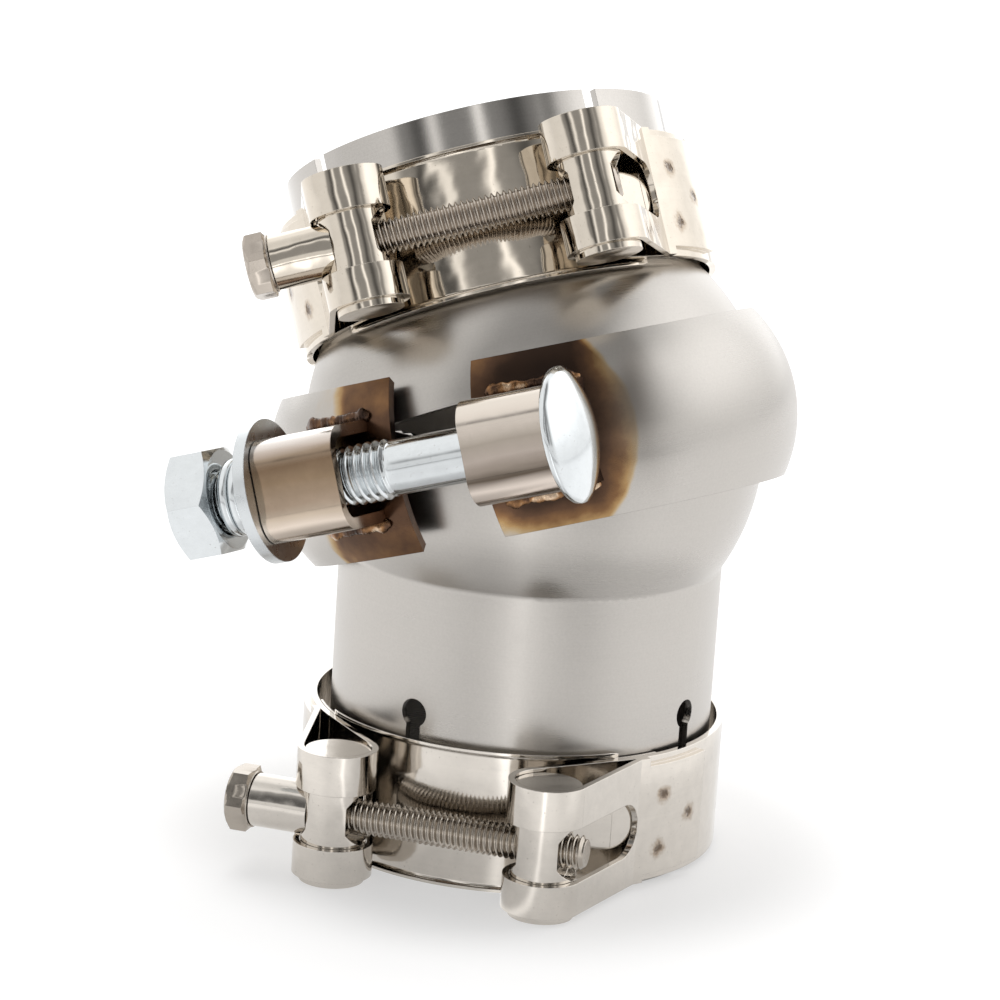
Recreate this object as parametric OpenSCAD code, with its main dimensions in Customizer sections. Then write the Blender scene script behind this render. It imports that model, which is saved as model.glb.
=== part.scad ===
// Weld-free exhaust pipe connector with a ball joint of adjustable angle.
// Two pipe halves meet in a nested ball, a split barrel-shaped band with two
// bolt lugs closes round the ball, and a loop clamp closes each slotted end.
// The origin is the centre of the lower pipe's end face, +Z runs up its axis,
// and the side with the bolts faces -Y. Sizes in millimetres and degrees.

/* [Pipes] */
// Bore of each socket, the outside of the pipe that slides in
pipe_bore = 63.5; // [60:0.1:66]
// Wall of both pipe halves
pipe_wall = 1.3; // [1:0.1:1.5]
// Outer diameter of the lower, inner half-ball
ball_d = 77.2; // [76.4:0.1:78]
// Running gap between the two half-balls
ball_gap = 0.2; // [0.1:0.05:0.4]
// Height of the ball's centre above the lower end
ball_z = 70.7; // [66:0.1:84]
// Length of the upper half, from the ball's centre to its rim
upper_len = 51.4; // [48:0.1:70]
// How far the lower half-ball rises past its centre
lower_rim_h = 6; // [4:0.5:8]
// How far above the centre the upper half-ball starts
upper_rim_h = 2.6; // [1:0.1:5]
// Radius of the groove between ball and socket
neck_fillet = 2; // [1:0.1:3]

/* [Slots] */
// Slots round each socket
slot_count = 4; // [3:1:6]
// Width of a slot
slot_w = 2.8; // [2:0.1:4]
// Diameter of the hole at the slot's end
keyhole_d = 4.9; // [4.2:0.1:7]
// Length of the lower slots, up to the hole's centre
lower_slot_len = 28.2; // [24:0.1:38]
// Length of the upper slots, up to the hole's centre
upper_slot_len = 22; // [16:0.1:24]
// Turn of the lower slots about the axis
lower_slot_turn = 34; // [0:1:90]
// Turn of the upper slots about the axis
upper_slot_turn = 39; // [0:1:90]

/* [Pose] */
// Tilt of the ball band
band_tilt = 19.2; // [0:0.1:20]
// Direction in which the band tilts
band_lean = 140; // [100:1:180]
// Further tilt of the upper pipe, measured from the band
pipe_bend = 8.9; // [0:0.1:11]
// Direction of that further tilt, in the band's own plane
pipe_lean = 101; // [80:1:145]

/* [Ball band] */
// Width of the band along its axis
band_w = 29; // [26:0.5:31]
// Sheet thickness of the band
band_t = 1.9; // [1.4:0.1:2.2]
// Outer radius of the barrel-shaped cross-section
band_arc_r = 25.3; // [24:0.1:28]
// Play between the band's edges and the ball
band_play = 1.7; // [1.4:0.1:2]
// How far the slack band hangs to the side that it leans to
band_shift = 1.2; // [0:0.1:1.2]
// Gap between the band's ends
band_gap = 14.5; // [10:0.5:20]
// Turn of the band's gap from the front, to the left
gap_turn = 20.5; // [0:0.5:45]

/* [Ball band bolt] */
// Thread diameter of the carriage bolt
bolt_d = 10; // [8:0.5:11]
// Distance of the bolt from the band's axis
bolt_out = 51; // [50.5:0.1:54]
// Length of a lug along the bolt
lug_len = 14.3; // [12:0.1:18]
// Set-back of the left lug from the band's end
left_lug_inset = 4.4; // [3:0.1:9]
// Set-back of the right lug from the band's end
right_lug_inset = 2.9; // [0:0.1:5]
// Strap thickness of the lugs
lug_t = 2; // [1.5:0.1:2.5]
// Height of a lug across the bolt
lug_h = 17; // [16:0.1:18.6]
// Outer radius of the lugs' two bends
lug_corner_r = 4.5; // [3:0.1:7]
// Radius of the weld beads
weld_r = 1.3; // [0.8:0.1:1.8]
// Diameter of the mushroom head
head_d = 22; // [19:0.5:25]
// Height of the straight edge under the head's dome
head_edge = 1.2; // [0.5:0.1:2]
// Height of the head's dome
head_h = 3.1; // [2.5:0.1:6]
// Length of the smooth shank under the head
shank_len = 29; // [24:0.1:32]
// Side of the square neck under the head
neck_side = 9; // [6:0.1:9]
// Length of the square neck
neck_len = 5.5; // [3:0.1:8]
// Diameter of the flat washer
washer_d = 23.5; // [20:0.5:26]
// Thickness of the flat washer
washer_t = 2; // [1.5:0.1:3]
// Diameter of the narrow spring washer
spring_d = 12.8; // [12.2:0.1:16]
// Height of the relaxed spring washer
spring_h = 6.3; // [2.5:0.1:7]
// Slit between the spring washer's ends
spring_slit = 1.2; // [0.6:0.1:2]
// Width of the hex nut across its flats
nut_af = 17; // [16:0.5:19]
// Thickness of the hex nut
nut_h = 7.6; // [6:0.1:10]

/* [Pipe clamps] */
// Width of the clamp band
clamp_w = 22; // [19:0.5:23]
// Sheet thickness of the clamp band
clamp_t = 1.1; // [0.8:0.1:1.3]
// Play between the slack clamp's bridge strip and the pipe
clamp_play = 1.25; // [1:0.05:1.5]
// Sheet thickness of the bridge strip inside the clamp
bridge_t = 0.5; // [0.3:0.1:0.6]
// Inner radius of the bridge strip's rolled lips
lip_in_r = 0.7; // [0.4:0.1:0.9]
// Half angle that the bridge strip covers
bridge_half_a = 60; // [52:1:80]
// Half angle that its rolled lips cover
lip_half_a = 47; // [40:1:52]
// Distance of the clamp bolt from the clamp's axis
clamp_bolt_out = 40.5; // [40.5:0.1:43]
// Half the distance between the lower clamp's two barrels
lower_barrel_half = 18.4; // [17:0.1:20]
// Half the distance between the upper clamp's two barrels
upper_barrel_half = 19.8; // [17:0.1:20]
// Diameter of the barrels
barrel_d = 11; // [10:0.1:11.4]
// Length of the barrels
barrel_len = 22.6; // [22:0.1:24]
// How far the barrels stand out of the loops' lower edge
barrel_drop = 1.2; // [0.8:0.1:1.6]
// Diameter of the spot faces that are milled on the barrels round the bolt
spot_d = 9.6; // [9.3:0.1:10.5]
// Distance between the two spot faces of a barrel
spot_gap = 7; // [6:0.1:9]
// Angle at which the folded-back end meets the band
tab_in_a = 52; // [48:1:56]
// Angle at which the folded-back end stops
tab_out_a = 78; // [70:1:90]
// How much narrower the folded-back end is than the band, at each edge
tab_inset = 1.4; // [0:0.1:2.5]
// Height of the window in each loop
window_h = 9.5; // [9.4:0.1:11]
// Thread diameter of the clamp bolt
clamp_bolt_d = 6; // [5:0.5:6]
// Length of the clamp bolt under its head
clamp_bolt_len = 58; // [56:0.5:64]
// Width of the clamp bolt's head across its flats
clamp_head_af = 10; // [9:0.5:11]
// Height of the clamp bolt's head
clamp_head_h = 4; // [3:0.1:5]
// Outer diameter of the spacer sleeve
sleeve_d = 9; // [8.5:0.1:9.2]
// Length of the spacer sleeve
sleeve_len = 10.2; // [8:0.1:14]
// Turn of the lower clamp's bolt from the front, to the left
lower_clamp_turn = 18; // [-60:1:60]
// Turn of the upper clamp's bolt from the front, to the left
upper_clamp_turn = 3; // [-60:1:60]

/* [Hidden] */
$fn = 96;

// Radial play of a pin or thread in its hole
pin_play = 0.05;
// End play between pieces that are stacked on a bolt
stack_play = 0.15;
// Clearance at which a slack piece lies against its seat
seat_play = 0.3;
// How far the straight stretches of a bent strip reach into the curved ones
strip_lap = 0.3;
// Step at those joints, and depth of the spot-welded joint between two layers
joint_step = 0.05;
// Angle past the crease at which the folded-back end gets narrower
crease_a = 3;
// Overshoot of the cutting shapes
over = 1;
// Size of a cutting block that clears the whole part
far = 200;

tube_r = pipe_bore / 2 + pipe_wall;
lower_ball_r = ball_d / 2;
upper_ball_r = lower_ball_r + ball_gap + pipe_wall;

// Barrel profile of the ball band: half angle of its arc, its inner edge, and
// the radius of the circle that the arc's centre runs round
band_half_a = asin(band_w / 2 / band_arc_r);
band_edge_z = (band_arc_r - band_t) * sin(band_half_a);
band_edge_r = sqrt(pow(upper_ball_r, 2) - pow(band_edge_z, 2)) + band_play;
band_ring_r = band_edge_r - (band_arc_r - band_t) * cos(band_half_a);

bolt_r = bolt_d / 2;
shank_r = 0.9 * bolt_r;
right_lug_x = band_gap / 2 + right_lug_inset;
left_lug_x = -band_gap / 2 - left_lug_inset - lug_len;
weld_z = lug_h / 2 + weld_r * 0.3;
weld_ring_r = band_ring_r + sqrt(pow(band_arc_r, 2) - pow(weld_z, 2));
head_x = right_lug_x + lug_len + stack_play;
thread_x = head_x - shank_len;
washer_x = left_lug_x - stack_play - washer_t;
spring_x = washer_x - stack_play - spring_h;
nut_x = spring_x - stack_play - nut_h;
// The threaded end stays just inside the nut
bolt_end_x = nut_x + 0.6;

clamp_in_r = tube_r + clamp_play + bridge_t + 0.1;
clamp_mid_r = clamp_in_r + clamp_t / 2;
tab_mid_r = clamp_mid_r + clamp_t - joint_step;
bridge_r = tube_r + clamp_play;
lip_out_r = lip_in_r + bridge_t;
barrel_r = barrel_d / 2;
loop_in_r = barrel_r + 0.15;
loop_mid_r = loop_in_r + clamp_t / 2;
clamp_pin_r = clamp_bolt_d / 2;
bolt_mid_z = clamp_w / 2 - barrel_drop / 2;
// Where the folded-back end meets the band, and the end of the loops' window
tab_at = tab_mid_r * front(tab_in_a);
window_end_y = tab_at[1] - window_h / 2 - 0.2;

// The slack lower clamp touches the pipe on one side and stands on the floor
lower_clamp_shift = clamp_play - seat_play;
lower_clamp_towards = 132;
// The upper clamp has slid down onto the shoulder of the ball
upper_clamp_shift = clamp_play / 2;
shoulder_r = clamp_in_r - upper_clamp_shift - seat_play;
upper_clamp_z = sqrt(pow(upper_ball_r, 2) - pow(shoulder_r, 2));

steel = [0.76, 0.74, 0.71];
bright = [0.82, 0.80, 0.77];
tinted = [0.52, 0.43, 0.36];
zinc = [0.80, 0.82, 0.84];

// Unit vector in the plane at an angle from the front, towards the right
function front(a) = [sin(a), -cos(a)];

// Angle of a vector in the plane, from +X
function direction(v) = atan2(v[1], v[0]);

// The rest of a clamp follows from half the distance between its barrels:
// the right barrel's centre, the angle at which the band leaves its circle to
// pass behind that barrel, the angle at which the loop round it ends, and the
// place of the bolt's head
function barrel_at(half) = [half, -clamp_bolt_out];
function leave_a(half) =
    atan(half / clamp_bolt_out) + acos((clamp_mid_r + loop_mid_r) / norm(barrel_at(half)));
function loop_end_a(half) =
    direction(tab_at - barrel_at(half)) + 90 - acos(loop_mid_r / norm(tab_at - barrel_at(half)));
function clamp_head_x(half) = -half - spot_gap / 2 - sleeve_len - 2 * stack_play;

// Frames of the groups that move together

module lean(angle, towards) rotate(a = angle, v = [-sin(towards), cos(towards), 0]) children();

module band_frame()
    translate([0, 0, ball_z]) lean(band_tilt, band_lean)
        translate([band_shift * cos(band_lean), band_shift * sin(band_lean), 0])
            rotate([0, 0, -gap_turn]) children();

module upper_frame()
    translate([0, 0, ball_z]) lean(band_tilt, band_lean) lean(pipe_bend, pipe_lean) children();

module lower_clamp_frame()
    rotate([0, 0, lower_clamp_towards]) translate([lower_clamp_shift, 0, barrel_drop])
        rotate([0, 0, -lower_clamp_towards - lower_clamp_turn]) children();

module upper_clamp_frame()
    upper_frame() translate([0, -upper_clamp_shift, upper_clamp_z])
        rotate([0, 0, -upper_clamp_turn]) children();

// Shapes that repeat

// A cylinder along X that starts at x0, on the line through (y, z)
module rod(x0, len, r, y, z = 0)
    translate([x0, y, z]) rotate([0, 90, 0]) cylinder(h = len, r = r);

// Half section that takes the corners off a hexagon at its top and, where
// bottom is true, at its bottom too
module chamfer_section(af, h, bottom) {
    corner = af / 2 / cos(30);
    face = af * 0.48;
    drop = (corner - face) * tan(30);
    low = bottom ? [[0, 0], [face, 0], [corner, drop]] : [[0, 0], [corner, 0]];
    polygon(concat(low, [[corner, h - drop], [face, h], [0, h]]));
}

// Hexagonal prism along +Z with a corner towards -Y
module hexagon(af, h, bottom) intersection() {
    rotate([0, 0, 30]) cylinder(h = h, d = af / cos(30), $fn = 6);
    rotate_extrude() chamfer_section(af, h, bottom);
}

// Pipes

// Half section of a bulb on a tube: the ball is round the origin and starts
// at rim_z, the tube ends at tube_z, and fillet_r rounds the groove between
module bulb_section(ball_r, bore_r, fillet_r, rim_z, tube_z) {
    groove_r = bore_r + fillet_r;
    groove_z = sqrt(pow(ball_r + fillet_r, 2) - pow(groove_r, 2));
    touch = ball_r / (ball_r + fillet_r);
    intersection() {
        circle(r = ball_r);
        translate([0, rim_z]) square([ball_r, far]);
    }
    translate([0, groove_z * touch]) square([bore_r, tube_z - groove_z * touch]);
    difference() {
        polygon([[0, groove_z * touch], [groove_r * touch, groove_z * touch],
                 [groove_r, groove_z], [0, groove_z]]);
        translate([groove_r, groove_z]) circle(r = fillet_r);
    }
}

// One pipe half with its ball round the origin and its socket up +Z
module pipe_half(ball_r, rim_z, len, slot_len, turn) difference() {
    rotate_extrude() difference() {
        bulb_section(ball_r, tube_r, neck_fillet, rim_z, len);
        bulb_section(ball_r - pipe_wall, pipe_bore / 2, neck_fillet + pipe_wall, rim_z - over, len + over);
    }
    for (i = [0 : slot_count - 1]) rotate([0, 0, turn - 90 + i * 360 / slot_count]) {
        translate([0, -slot_w / 2, len - slot_len]) cube([far, slot_w, slot_len + over]);
        translate([0, 0, len - slot_len]) rotate([0, 90, 0]) cylinder(h = far, d = keyhole_d);
    }
}

module lower_pipe() color(steel)
    translate([0, 0, ball_z]) rotate([180, 0, 0])
        pipe_half(lower_ball_r, -lower_rim_h, ball_z, lower_slot_len, lower_slot_turn);

module upper_pipe() color(steel) upper_frame()
    pipe_half(upper_ball_r, upper_rim_h, upper_len, upper_slot_len, upper_slot_turn);

// Ball band with its lugs and bolt

// Everything inside the band's outer surface
module barrel_body() rotate_extrude() intersection() {
    translate([band_ring_r, 0]) circle(r = band_arc_r);
    translate([0, -band_w / 2]) square([far, band_w]);
}

module ball_band() color(steel) band_frame() difference() {
    rotate_extrude() translate([band_ring_r, 0]) intersection() {
        difference() {
            circle(r = band_arc_r);
            circle(r = band_arc_r - band_t);
        }
        polygon([[0, 0], [far * cos(band_half_a), -far * sin(band_half_a)],
                 [far * cos(band_half_a), far * sin(band_half_a)]]);
    }
    translate([-band_gap / 2, -far, -far / 2]) cube([band_gap, far, far]);
}

// Flat front, two bends and two legs of a lug, with X towards the band
module lug_section(inset) {
    r = lug_corner_r - inset;
    half = lug_h / 2 - inset;
    translate([r - half, -half]) square([bolt_out, 2 * half]);
    translate([-half, r - half]) square([2 * r, 2 * (half - r)]);
    for (side = [-1, 1]) translate([r - half, side * (half - r)]) circle(r = r);
}

// A bent strap that stands on the band and holds the bolt
module lug(x0) color(tinted) band_frame() difference() {
    translate([x0, -bolt_out, 0]) rotate([90, 0, 90]) linear_extrude(lug_len) difference() {
        lug_section(0);
        lug_section(lug_t);
    }
    barrel_body();
}

module left_lug() lug(left_lug_x);

module right_lug() lug(right_lug_x);

// A bead on the band along one foot of a lug
module weld_bead(x0, side) intersection() {
    translate([0, 0, side * weld_z]) rotate_extrude() translate([weld_ring_r, 0]) circle(r = weld_r);
    translate([x0 + over, -far, -far / 2]) cube([lug_len - 2 * over, far, far]);
}

module lug_welds() color(tinted) band_frame() difference() {
    for (x0 = [left_lug_x, right_lug_x], side = [-1, 1]) weld_bead(x0, side);
    barrel_body();
    translate([-far / 2, -far, -lug_h / 2]) cube([far, far, lug_h]);
}

module carriage_bolt() color(zinc) band_frame() {
    dome_r = (pow(head_d / 2, 2) + pow(head_h, 2)) / (2 * head_h);
    translate([head_x, -bolt_out, 0]) rotate([0, 90, 0]) rotate_extrude() {
        square([head_d / 2, head_edge]);
        intersection() {
            translate([0, head_edge + head_h - dome_r]) circle(r = dome_r);
            translate([0, head_edge / 2]) square([head_d / 2, head_edge + head_h]);
        }
    }
    translate([head_x - neck_len, -bolt_out - neck_side / 2, -neck_side / 2])
        cube([neck_len, neck_side, neck_side]);
    rod(thread_x, shank_len, shank_r, -bolt_out);
    rod(bolt_end_x, thread_x - bolt_end_x, bolt_r - pin_play, -bolt_out);
}

module flat_washer() color(zinc) band_frame() difference() {
    rod(washer_x, washer_t, washer_d / 2, -bolt_out);
    rod(washer_x - over, washer_t + 2 * over, bolt_r + pin_play, -bolt_out);
}

// Half section of the relaxed spring washer, which shows as two narrow turns
module spring_section() {
    turn_r = spring_h / 4;
    wall_r = bolt_r + pin_play;
    translate([wall_r, turn_r]) square([spring_d / 2 - turn_r * 0.6 - wall_r, 2 * turn_r]);
    for (i = [1, 3]) intersection() {
        translate([spring_d / 2 - turn_r, i * turn_r]) circle(r = turn_r);
        translate([wall_r, 0]) square([far, far]);
    }
}

module spring_washer() color(zinc) band_frame()
    translate([spring_x, -bolt_out, 0]) rotate([0, 90, 0]) difference() {
        rotate_extrude() spring_section();
        translate([-spring_slit / 2, 0, -over]) cube([spring_slit, far, far]);
    }

module hex_nut() color(zinc) band_frame()
    translate([nut_x, -bolt_out, 0]) rotate([0, 90, 0]) difference() {
        hexagon(nut_af, nut_h, true);
        translate([0, 0, -over]) cylinder(h = nut_h + 2 * over, r = bolt_r);
    }

// Pipe clamps

// Stretch of strip along an arc between two angles from the front
module strip_arc(mid_r, from, to) intersection() {
    difference() {
        circle(r = mid_r + clamp_t / 2);
        circle(r = mid_r - clamp_t / 2);
    }
    polygon([[0, 0], far * front(from), far * front((from + to) / 2), far * front(to)]);
}

// Straight stretch of strip between two points, let into its neighbours
module strip_line(p, q)
    translate(p) rotate([0, 0, atan2(q[1] - p[1], q[0] - p[0])])
        translate([-strip_lap, joint_step - clamp_t / 2])
            square([norm(q - p) + 2 * strip_lap, clamp_t - 2 * joint_step]);

// Outer layer of the right end: round the barrel and back towards the band
module outer_end(half) {
    translate(barrel_at(half)) strip_arc(loop_mid_r, leave_a(half) - 180, loop_end_a(half));
    strip_line(barrel_at(half) + loop_mid_r * front(loop_end_a(half)), tab_at);
    strip_arc(tab_mid_r, tab_in_a, tab_in_a + crease_a);
}

// Window that opens the loop for the barrel and the bolt
module loop_window() translate([0, 0, bolt_mid_z]) {
    translate([0, -far, -window_h / 2]) cube([far, far + window_end_y, window_h]);
    translate([0, window_end_y, 0]) rotate([0, 90, 0]) cylinder(h = far, d = window_h);
}

// One end of the clamp band: side is 1 on the right and -1 on the left
module clamp_end(half, side) mirror([side < 0 ? 1 : 0, 0, 0]) {
    leave = front(leave_a(half));
    linear_extrude(clamp_w) strip_line(clamp_mid_r * leave, barrel_at(half) - loop_mid_r * leave);
    difference() {
        linear_extrude(clamp_w) outer_end(half);
        loop_window();
    }
    translate([0, 0, tab_inset]) linear_extrude(clamp_w - 2 * tab_inset)
        strip_arc(tab_mid_r, tab_in_a, tab_out_a);
}

module clamp_band(half) {
    linear_extrude(clamp_w) strip_arc(clamp_mid_r, leave_a(half), 360 - leave_a(half));
    for (side = [-1, 1]) clamp_end(half, side);
}

// Half section of a lip that rolls outwards from the strip's edge at z
module lip_section(z, up) intersection() {
    translate([bridge_r + lip_out_r, z]) difference() {
        circle(r = lip_out_r);
        circle(r = lip_in_r);
    }
    translate([bridge_r, up ? z : z - lip_out_r]) square([lip_out_r, lip_out_r]);
}

// Thin strip that closes the clamp's gap, with rolled lips that end in points
module bridge_strip() {
    difference() {
        rotate([0, 0, -90 - lip_half_a]) rotate_extrude(angle = 2 * lip_half_a) {
            translate([bridge_r, 0]) square([bridge_t, clamp_w]);
            lip_section(clamp_w, true);
            lip_section(0, false);
        }
        for (side = [-1, 1], z = [clamp_w, -far]) mirror([side < 0 ? 1 : 0, 0, 0])
            translate((bridge_r + bridge_t / 2) * front(lip_half_a)) rotate([0, 0, lip_half_a - 75])
                translate([0, -far, z]) cube([far, far, far]);
    }
    for (from = [-bridge_half_a, lip_half_a - 1]) rotate([0, 0, from - 90])
        rotate_extrude(angle = bridge_half_a - lip_half_a + 1)
            translate([bridge_r + joint_step, 0]) square([bridge_t - 2 * joint_step, clamp_w]);
}

module barrel(half, side) translate([side * half, -clamp_bolt_out, 0]) difference() {
    translate([0, 0, -barrel_drop]) cylinder(h = barrel_len, r = barrel_r);
    translate([0, 0, bolt_mid_z]) rotate([0, 90, 0]) cylinder(h = far, r = clamp_pin_r, center = true);
    for (end = [-1, 1]) translate([end * (spot_gap + far) / 2, 0, bolt_mid_z]) rotate([0, 90, 0])
        cylinder(h = far, d = spot_d, center = true);
}

module sleeve(half) difference() {
    rod(clamp_head_x(half) + stack_play, sleeve_len, sleeve_d / 2, -clamp_bolt_out, bolt_mid_z);
    rod(-far, far, clamp_pin_r, -clamp_bolt_out, bolt_mid_z);
}

module clamp_bolt(half) translate([clamp_head_x(half), -clamp_bolt_out, bolt_mid_z]) {
    rotate([0, -90, 0]) hexagon(clamp_head_af, clamp_head_h, false);
    rod(0, clamp_bolt_len, clamp_pin_r - pin_play, 0);
}

module lower_clamp_band() color(bright) lower_clamp_frame() clamp_band(lower_barrel_half);
module lower_bridge_strip() color(bright) lower_clamp_frame() bridge_strip();
module lower_left_barrel() color(bright) lower_clamp_frame() barrel(lower_barrel_half, -1);
module lower_right_barrel() color(bright) lower_clamp_frame() barrel(lower_barrel_half, 1);
module lower_sleeve() color(bright) lower_clamp_frame() sleeve(lower_barrel_half);
module lower_clamp_bolt() color(bright) lower_clamp_frame() clamp_bolt(lower_barrel_half);
module upper_clamp_band() color(bright) upper_clamp_frame() clamp_band(upper_barrel_half);
module upper_bridge_strip() color(bright) upper_clamp_frame() bridge_strip();
module upper_left_barrel() color(bright) upper_clamp_frame() barrel(upper_barrel_half, -1);
module upper_right_barrel() color(bright) upper_clamp_frame() barrel(upper_barrel_half, 1);
module upper_sleeve() color(bright) upper_clamp_frame() sleeve(upper_barrel_half);
module upper_clamp_bolt() color(bright) upper_clamp_frame() clamp_bolt(upper_barrel_half);

lower_pipe();
upper_pipe();
ball_band();
left_lug();
right_lug();
lug_welds();
carriage_bolt();
flat_washer();
spring_washer();
hex_nut();
lower_clamp_band();
lower_bridge_strip();
lower_left_barrel();
lower_right_barrel();
lower_sleeve();
lower_clamp_bolt();
upper_clamp_band();
upper_bridge_strip();
upper_left_barrel();
upper_right_barrel();
upper_sleeve();
upper_clamp_bolt();
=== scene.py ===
"""Looks of the exhaust pipe connector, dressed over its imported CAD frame."""
import math

import bmesh
import bpy
from mathutils import Matrix, Vector, noise


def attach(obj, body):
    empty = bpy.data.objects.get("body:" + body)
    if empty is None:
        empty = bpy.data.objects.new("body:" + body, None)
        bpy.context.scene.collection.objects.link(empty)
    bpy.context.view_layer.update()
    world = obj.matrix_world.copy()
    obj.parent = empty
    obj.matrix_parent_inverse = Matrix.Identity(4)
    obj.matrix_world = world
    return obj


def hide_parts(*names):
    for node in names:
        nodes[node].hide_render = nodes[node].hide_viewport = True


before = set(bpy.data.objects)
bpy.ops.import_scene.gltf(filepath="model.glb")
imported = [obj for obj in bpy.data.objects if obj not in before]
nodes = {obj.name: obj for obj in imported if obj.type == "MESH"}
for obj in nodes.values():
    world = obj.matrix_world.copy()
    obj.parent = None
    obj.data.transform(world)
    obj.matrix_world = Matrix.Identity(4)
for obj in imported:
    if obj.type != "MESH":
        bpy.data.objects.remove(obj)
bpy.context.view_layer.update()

MM = 0.001
# Degrees in a radian, for shader nodes
DEG = 57.2958

# Sizes and places of the part's source, in millimetres and degrees
BALL_Z = 70.7
BAND_TILT, BAND_LEAN, BAND_SHIFT = 19.2, 140, 1.2
GAP_TURN = 20.5
PIPE_BEND, PIPE_LEAN = 8.9, 101
LOWER_CLAMP_TOWARDS, LOWER_CLAMP_SHIFT, LOWER_CLAMP_TURN = 132, 0.95, 18
UPPER_CLAMP_SHIFT, UPPER_CLAMP_Z, UPPER_CLAMP_TURN = 0.625, 21.3, 3
BARREL_DROP = 1.2
# Profile of the ball band: radius of its arc, and of the ring that its centre makes
BAND_ARC_R, BAND_RING_R = 25.3, 20.315
# Carriage bolt: its distance from the band's axis, and places from head to end
BOLT_OUT = 51.0
HEAD_X, THREAD_X, BOLT_END_X = 24.6, -4.4, -41.7
SHANK_R, NECK_LEN = 4.5, 5.5
HEAD_R, HEAD_EDGE, HEAD_H = 11.0, 1.2, 3.1
SPRING_X, SPRING_H = -34.55, 6.3
# Clamp bolts: their distance from the clamp's axis, height, and stack under the head
CLAMP_OUT, CLAMP_BOLT_Z = 40.5, 10.4
CLAMP_BOLT_R, CLAMP_BOLT_LEN, CLAMP_PITCH = 2.95, 58.0, 1.0
CLAMP_HEAD_H, CLAMP_HEAD_AF = 4.0, 10.0
SPOT_HALF, SLEEVE_LEN, STACK_PLAY = 3.5, 10.2, 0.3
LOWER_BARREL_HALF, UPPER_BARREL_HALF = 18.4, 19.8


def mm(x, y, z):
    return Vector((x, y, z)) * MM


def turn_z(deg):
    return Matrix.Rotation(math.radians(deg), 4, "Z")


def lean(deg, towards):
    a = math.radians(towards)
    return Matrix.Rotation(math.radians(deg), 4, Vector((-math.sin(a), math.cos(a), 0)))


def move(x, y, z):
    return Matrix.Translation(mm(x, y, z))


# Frames of the groups that move together, as in the part's source
LOWER = Matrix.Identity(4)
TILTED = move(0, 0, BALL_Z) @ lean(BAND_TILT, BAND_LEAN)
band_lean = math.radians(BAND_LEAN)
BAND = (
    TILTED
    @ move(BAND_SHIFT * math.cos(band_lean), BAND_SHIFT * math.sin(band_lean), 0)
    @ turn_z(-GAP_TURN)
)
UPPER = TILTED @ lean(PIPE_BEND, PIPE_LEAN)
LOWER_CLAMP = (
    turn_z(LOWER_CLAMP_TOWARDS)
    @ move(LOWER_CLAMP_SHIFT, 0, BARREL_DROP)
    @ turn_z(-LOWER_CLAMP_TOWARDS - LOWER_CLAMP_TURN)
)
UPPER_CLAMP = UPPER @ move(0, -UPPER_CLAMP_SHIFT, UPPER_CLAMP_Z) @ turn_z(-UPPER_CLAMP_TURN)

# Camera, fitted to the photo: focal length in pixels of a 1000 pixel wide picture,
# height that it looks at, and its shift and distance from there in millimetres
ELEV, ROLL, AZIM = (math.radians(a) for a in (14.04, 3.76, -1.10))
FOCAL_PX, PICTURE_PX, SENSOR = 3931, 1000, 36
LOOK_Z, SHIFT_X, SHIFT_Y, DISTANCE = 70, -5.88, -10.80, 674.0

back = Vector((0, -math.cos(ELEV), math.sin(ELEV)))
right = Vector((1, 0, 0))
up = back.cross(right)
spin = Matrix.Rotation(AZIM, 3, "Z")
back, right, up = spin @ back, spin @ right, spin @ up
right_r = right * math.cos(ROLL) + up * math.sin(ROLL)
up_r = up * math.cos(ROLL) - right * math.sin(ROLL)
eye = mm(0, 0, LOOK_Z) + right * (SHIFT_X * MM) + up * (SHIFT_Y * MM) + back * (DISTANCE * MM)
cam_data = bpy.data.cameras.new("camera")
cam_data.sensor_width = SENSOR
cam_data.lens = FOCAL_PX * SENSOR / PICTURE_PX
cam_data.clip_end = 20
cam = bpy.data.objects.new("camera", cam_data)
bpy.context.scene.collection.objects.link(cam)
cam.matrix_world = Matrix((
    (right_r.x, up_r.x, back.x, eye.x),
    (right_r.y, up_r.y, back.y, eye.y),
    (right_r.z, up_r.z, back.z, eye.z),
    (0, 0, 0, 1),
))
bpy.context.scene.camera = cam


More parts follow.
